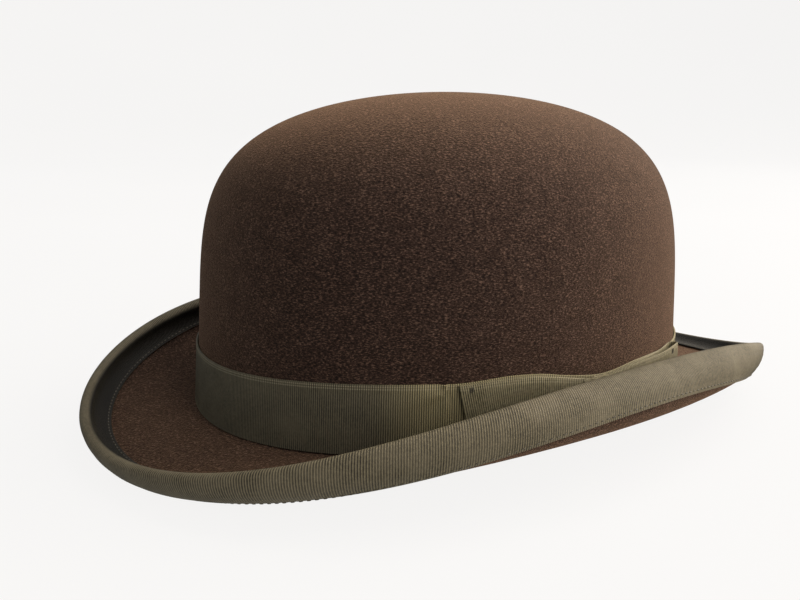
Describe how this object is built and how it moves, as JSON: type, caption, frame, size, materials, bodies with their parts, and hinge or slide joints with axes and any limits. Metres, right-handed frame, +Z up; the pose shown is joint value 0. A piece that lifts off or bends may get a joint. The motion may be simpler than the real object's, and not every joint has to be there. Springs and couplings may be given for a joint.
{
  "type": "bowler hat",
  "caption": "Bowler hat: a stiff domed felt body with a curled brim, a grosgrain crown band with a flat side bow, a bound brim edge, and a leather sweatband and satin lining inside.",
  "frame": {"origin": "centre of the bounding box at its lowest level, the plane that the front and the back of the brim rest on", "axes": "+Z up through the crown, -Y towards the front of the hat, +X towards the wearer's left side, where the bow is"},
  "size_m": [0.2134, 0.296, 0.1234],
  "materials": {
    "felt": "short napped fur felt, matt",
    "binding": "fine ribbed grosgrain ribbon, folded over the edge",
    "band": "ribbed grosgrain ribbon, dull sheen",
    "bow": "ribbed grosgrain ribbon, dull sheen",
    "thread": "twisted sewing thread",
    "sweatband": "smooth dressed leather, semi-matt",
    "reed": "extruded, matt",
    "tape": "plain woven tape",
    "leather_thread": "twisted sewing thread",
    "small_bow": "narrow ribbed ribbon",
    "lining": "satin weave, soft sheen",
    "piping": "satin covered cord",
    "shield": "thin clear film, glossy"
  },
  "bodies": {
    "root": {"felt_body": "felt", "brim_binding": "binding", "binding_stitching": "thread", "crown_band": "band", "bow_loop": "bow", "bow_knot": "bow", "bow_tack_front": "thread", "bow_tack_back": "thread", "sweatband": "sweatband", "sweatband_reed": "reed", "reed_tape": "tape", "sweatband_stitching": "leather_thread", "sweatband_bow": "small_bow", "lining_side": "lining", "lining_tip": "lining", "lining_piping": "piping", "tip_shield": "shield"}
  },
  "joints": []
}
